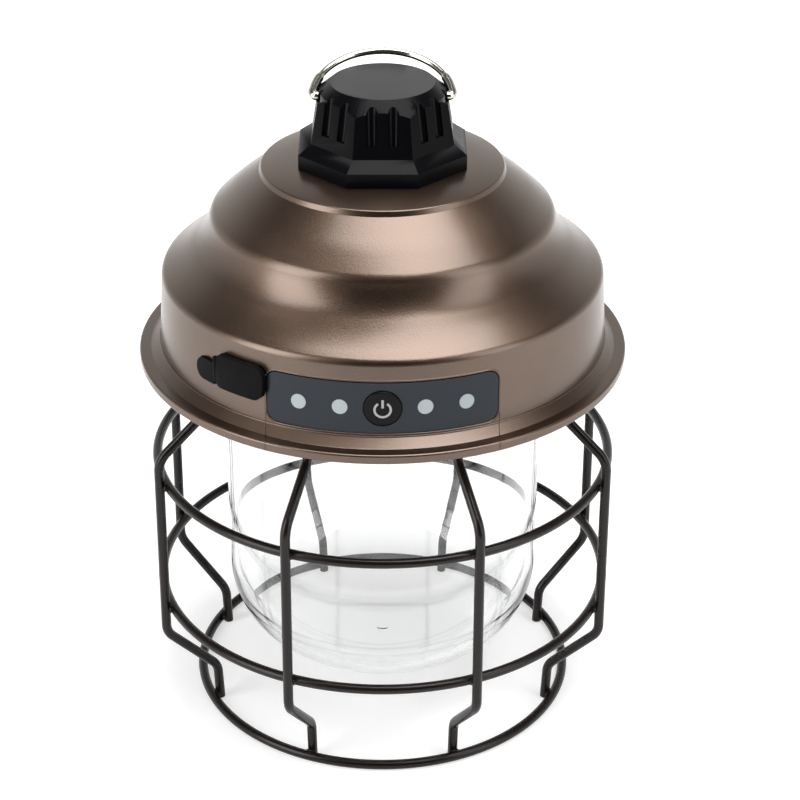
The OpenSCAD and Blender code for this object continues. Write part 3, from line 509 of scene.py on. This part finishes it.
combine(tab, wall_ring(-TAB_PROUD, TAB_SUNK), "INTERSECT")
tab.name = "tab_body"
dress(tab, black_rubber)
soft = tab.modifiers.new("soft_edges", "BEVEL")
soft.width, soft.segments, soft.angle_limit, soft.harden_normals = 0.00045, 3, radians(50), True
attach(tab, "head")
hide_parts("port_cover_tab")
dress_nodes(steel, "usb_shell")
dress_nodes(black_plastic, "usb_tongue")
dress_nodes(circuit_board, "usb_board")

# ---- Light source ----
# A white board with warm chips lies under the base plate, ringed by a sloped white reflector and covered by an
# opal diffuser.
led_phosphor = finish("led_phosphor", (0.85, 0.65, 0.12), 0.35, shade=0.05, grain=0.3)
opal = finish("opal_plastic", (0.86, 0.86, 0.83), 0.4, shade=0.02, grain=0.5)
dress_nodes(white_plastic, "led_board", "reflector")
dress_nodes(led_phosphor, "led_chips")
dress_nodes(opal, "diffuser")

# ---- Globe ----
# A clear blown-glass globe with a straight wall, a full round bottom with a small moulding nub at its middle, and
# a lip at the top, clamped between a rubber gasket and a black holder.
GLOBE_R, GLOBE_T, GLOBE_BOTTOM, GLOBE_ROUND = 40.8, 2.0, 8.1, 28.5
LIP_R, LIP_Z, LIP_TOP, LIP_ROUND = 43.0, 94.3, 96.5, 0.8
NUB_R, NUB_H, NUB_STEPS = 1.5, 0.5, 8


def globe_side(r, bottom, round_h, steps=72, fullness=2.24):
    """One side of the globe from the middle of its bottom up to the end of its curve."""
    out = []
    for k in range(steps + 1):
        a = pi / 2 * k / steps
        out.append(Vector((r * sin(a) ** (2 / fullness), bottom + round_h - round_h * cos(a) ** (2 / fullness))))
    return out


nub = [Vector((NUB_R * sin(a), GLOBE_BOTTOM + GLOBE_T - 0.02 + NUB_H * cos(a)))
       for a in [pi / 2 * k / NUB_STEPS for k in range(NUB_STEPS + 1)]]
wall_out = globe_side(GLOBE_R, GLOBE_BOTTOM, GLOBE_ROUND)
wall_in = globe_side(GLOBE_R - GLOBE_T, GLOBE_BOTTOM + GLOBE_T, GLOBE_ROUND - GLOBE_T / 2)
inner = nub + [p for p in wall_in if p.x > NUB_R + 0.1]
rim = rounded([(GLOBE_R, LIP_Z - 4, 0), (GLOBE_R, LIP_Z, 1), (LIP_R, LIP_Z, LIP_ROUND), (LIP_R, LIP_TOP, LIP_ROUND),
               (GLOBE_R - GLOBE_T, LIP_TOP, LIP_ROUND), (GLOBE_R - GLOBE_T, LIP_TOP - 4, 0)], 6)
curve_top = GLOBE_BOTTOM + GLOBE_ROUND
straight_out = [Vector((GLOBE_R, curve_top + (LIP_Z - 5 - curve_top) * k / 12)) for k in range(1, 13)]
straight_in = [Vector((GLOBE_R - GLOBE_T, p.y)) for p in reversed(straight_out)]
globe = revolve("globe_glass", wall_out + straight_out + rim + straight_in + inner[::-1], 192)
glass = bpy.data.materials.new("clear_glass")
glass.use_nodes = True
tree = glass.node_tree
shader = tree.nodes["Principled BSDF"]
preset(shader, Base_Color=(0.99, 0.99, 0.99, 1), Roughness=0.0, IOR=1.47, Transmission_Weight=1.0)
ripple = tree.nodes.new("ShaderNodeTexNoise")
preset(ripple, Scale=38, Detail=1)
wave = tree.nodes.new("ShaderNodeBump")
preset(wave, Distance=0.00012)
tree.links.new(tree.nodes.new("ShaderNodeTexCoord").outputs["Object"], ripple.inputs["Vector"])
tree.links.new(ripple.outputs["Fac"], wave.inputs["Height"])
tree.links.new(wave.outputs[0], shader.inputs["Normal"])
depth_tint = tree.nodes.new("ShaderNodeVolumeAbsorption")
preset(depth_tint, Color=(0.7, 0.73, 0.73, 1), Density=45)
tree.links.new(depth_tint.outputs[0], tree.nodes["Material Output"].inputs["Volume"])
dress(globe, glass)
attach(globe, "head")
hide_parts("globe")
dress_nodes(black_rubber, "globe_gasket")
dress_nodes(black_plastic, "globe_holder")

# ---- Cage ----
# Eight ribs of steel wire are bent to one pattern: they leave the mounting ring, go out to a shoulder, down past
# two hoops, and step in at the knee to the base ring. All crossings are welded, and the cage is powder coated dark.
WIRE_R, RIBS = 1.25, 8
WELD_DEPTH, WELD_OFFSET = 0.25, 1.2
UPPER_HOOP_R, UPPER_HOOP_Z = 58.8, 68.5
LOWER_HOOP_R, LOWER_HOOP_Z = 59.0, 31.8
BASE_RING_R = 49.5
cage_coating = finish("cage_coating", (0.0095, 0.006, 0.005), 0.26, shade=0.15, spread=0.06, grain=0.45, depth=0.02,
                      Metallic=0.1, Specular_IOR_Level=0.3)
REACH = 2 * WIRE_R - WELD_DEPTH    # from the middle of a hoop's wire to the middle of a rib's
UPPER_R, LOWER_R, FOOT_R = UPPER_HOOP_R + REACH, LOWER_HOOP_R + REACH, BASE_RING_R - REACH
TOP_R, TOP_Z, SHOULDER_Z, KNEE_Z = 46.5, 96.0, 76.2, 24.6


def leg_r(z):
    """Radius of a rib's long leg, which leans a little so that it meets both hoops."""
    return UPPER_R + (LOWER_R - UPPER_R) * (UPPER_HOOP_Z - z) / (UPPER_HOOP_Z - LOWER_HOOP_Z)


def bent_wire(name, path, turn):
    """Round wire along a path in an upright plane, turned about the axis by an angle."""
    line = rounded(path, 12)
    bm = wire(line, [WIRE_R] * len(line))
    bmesh.ops.rotate(bm, verts=bm.verts, cent=(0, 0, 0), matrix=Matrix.Rotation(turn, 3, "Z"))
    return new_piece(name, bm, 60)


rib_path = [(TOP_R, TOP_Z, 0), (TOP_R, TOP_Z - 7, 5.5), (leg_r(SHOULDER_Z), SHOULDER_Z, 6.5),
            (leg_r(KNEE_Z), KNEE_Z, 5.5), (FOOT_R + 0.5, 10.6, 5.5), (FOOT_R, 0.3, 0)]
turns = [radians(360 / RIBS * (i + 0.5) - 90) for i in range(RIBS)]
for i, turn in enumerate(turns):
    rib = bent_wire(f"rib_wire_{i + 1}", rib_path, turn)
    dress(rib, cage_coating)
    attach(rib, "head")
    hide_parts(f"cage_rib_{i + 1}")


def weld_fillet(name, spots):
    """Small lumps of weld metal where two wires touch, drawn out along the hoop."""
    bm = bmesh.new()
    for r, z, turn in spots:
        lump = bmesh.ops.create_uvsphere(bm, u_segments=16, v_segments=10, radius=0.001)["verts"]
        for v in lump:
            x, y, h = v.co.x * 1000, v.co.y * 1000, v.co.z * 1000
            v.co = mm(r + x * 0.7, y * 1.75, z + h * 1.1)
        bmesh.ops.rotate(bm, verts=lump, cent=(0, 0, 0), matrix=Matrix.Rotation(turn, 3, "Z"))
    return new_piece(name, bm, 60)


for name, r, z in (("upper_welds", UPPER_HOOP_R + WELD_OFFSET, UPPER_HOOP_Z),
                   ("lower_welds", LOWER_HOOP_R + WELD_OFFSET, LOWER_HOOP_Z),
                   ("base_welds", BASE_RING_R - WELD_OFFSET, WIRE_R + 0.1)):
    welds = dress(weld_fillet(name, [(r, z, turn) for turn in turns]), cage_coating)
    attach(welds, "head")
dress_nodes(cage_coating, "upper_hoop", "lower_hoop", "base_ring", "mounting_ring")
dress_nodes(steel, "cage_screws")

# ---- Studio ----
# A pale floor, and a surround that is white to look at and darker overhead and low in front where it is reflected.
# Lamps overhead and at both sides stand for soft boxes.
LIGHT_PATH_RAYS = ("Is Camera Ray", "Is Glossy Ray", "Is Transmission Ray")


def seen_directly(tree):
    """1 for rays from the eye, through glass or by way of a reflection, else 0."""
    paths = tree.nodes.new("ShaderNodeLightPath")
    total = paths.outputs[LIGHT_PATH_RAYS[0]]
    for ray in LIGHT_PATH_RAYS[1:]:
        total = math_node(tree, "MAXIMUM", total, paths.outputs[ray])
    return total


def ramp(tree, value, start, end, low, high):
    """A socket that goes from low to high as the value goes from start to end."""
    node = tree.nodes.new("ShaderNodeMapRange")
    preset(node, From_Min=start, From_Max=end, To_Min=low, To_Max=high)
    tree.links.new(value, node.inputs["Value"])
    return node.outputs[0]


FLOOR_FRONT, FLOOR_BACK, FLOOR_SIDE = -0.6, 6, 4
bm = bmesh.new()
bm.faces.new([bm.verts.new(place) for place in ((-FLOOR_SIDE, FLOOR_FRONT, 0), (FLOOR_SIDE, FLOOR_FRONT, 0),
                                                (FLOOR_SIDE, FLOOR_BACK, 0), (-FLOOR_SIDE, FLOOR_BACK, 0))])
floor = new_piece("floor", bm)
floor_paint = bpy.data.materials.new("floor_paint")
floor_paint.use_nodes = True
tree = floor_paint.node_tree
shader = tree.nodes["Principled BSDF"]
preset(shader, Base_Color=(0.62, 0.62, 0.62, 1), Roughness=0.9, Emission_Color=(1, 1, 1, 1))
away = tree.nodes.new("ShaderNodeVectorMath")
away.operation = "LENGTH"
tree.links.new(tree.nodes.new("ShaderNodeTexCoord").outputs["Object"], away.inputs[0])
glow = ramp(tree, away.outputs["Value"], 0.1, 0.5, 0.55, 1.0)
tree.links.new(math_node(tree, "MULTIPLY", seen_directly(tree), glow), shader.inputs["Emission Strength"])
dress(floor, floor_paint)

world = bpy.data.worlds.new("surround")
bpy.context.scene.world = world
world.use_nodes = True
tree = world.node_tree
backdrop = tree.nodes["Background"]
preset(backdrop, Color=(1, 1, 1, 1))
look = tree.nodes.new("ShaderNodeSeparateXYZ")
tree.links.new(tree.nodes.new("ShaderNodeTexCoord").outputs["Generated"], look.inputs[0])
steeper_in_front = math_node(tree, "MULTIPLY_ADD", look.outputs["Y"], -0.8, 1.0)
overhead = ramp(tree, math_node(tree, "MULTIPLY", look.outputs["Z"], steeper_in_front), 0.1, 0.4, 1.0, 0.15)
front = ramp(tree, look.outputs["Y"], -0.75, -0.35, 0.12, 1.0)
paths = tree.nodes.new("ShaderNodeLightPath")
level = math_node(tree, "MULTIPLY_ADD", paths.outputs["Is Glossy Ray"], 0.65, 0.35)
level = math_node(tree, "MULTIPLY", math_node(tree, "MULTIPLY", level, front), overhead)
seen = math_node(tree, "MAXIMUM", paths.outputs["Is Camera Ray"], paths.outputs["Is Transmission Ray"])
tree.links.new(math_node(tree, "MAXIMUM", level, seen), backdrop.inputs["Strength"])


def soft_box(name, place, target, size, power):
    """A rectangular lamp at a place, pointed at a target; metres and watts."""
    lamp = bpy.data.lights.new(name, "AREA")
    lamp.shape, lamp.size, lamp.size_y, lamp.energy = "RECTANGLE", *size, power
    obj = bpy.data.objects.new(name, lamp)
    obj.location = place
    obj.rotation_euler = (Vector(target) - Vector(place)).to_track_quat("-Z", "Y").to_euler()
    bpy.context.scene.collection.objects.link(obj)


soft_box("overhead", (0.1, -0.07, 0.85), (0, 0, 0.14), (0.55, 0.75), 9)
soft_box("left_box", (-0.66, -0.42, 0.42), (0, 0, 0.13), (0.45, 0.7), 5.5)
soft_box("right_box", (0.66, -0.44, 0.42), (0, 0, 0.13), (0.4, 0.7), 2.7)

CAMERA_PLACE, CAMERA_TILT = (0, -0.5071, 0.35655), radians(61.49)
lens = bpy.data.cameras.new("camera")
lens.lens, lens.sensor_width, lens.shift_x = 100, 36, 0.02175
camera = bpy.data.objects.new("camera", lens)
camera.location = CAMERA_PLACE
camera.rotation_euler = (CAMERA_TILT, 0, 0)
bpy.context.scene.collection.objects.link(camera)
bpy.context.scene.camera = camera
bpy.context.scene.view_settings.view_transform = "Standard"
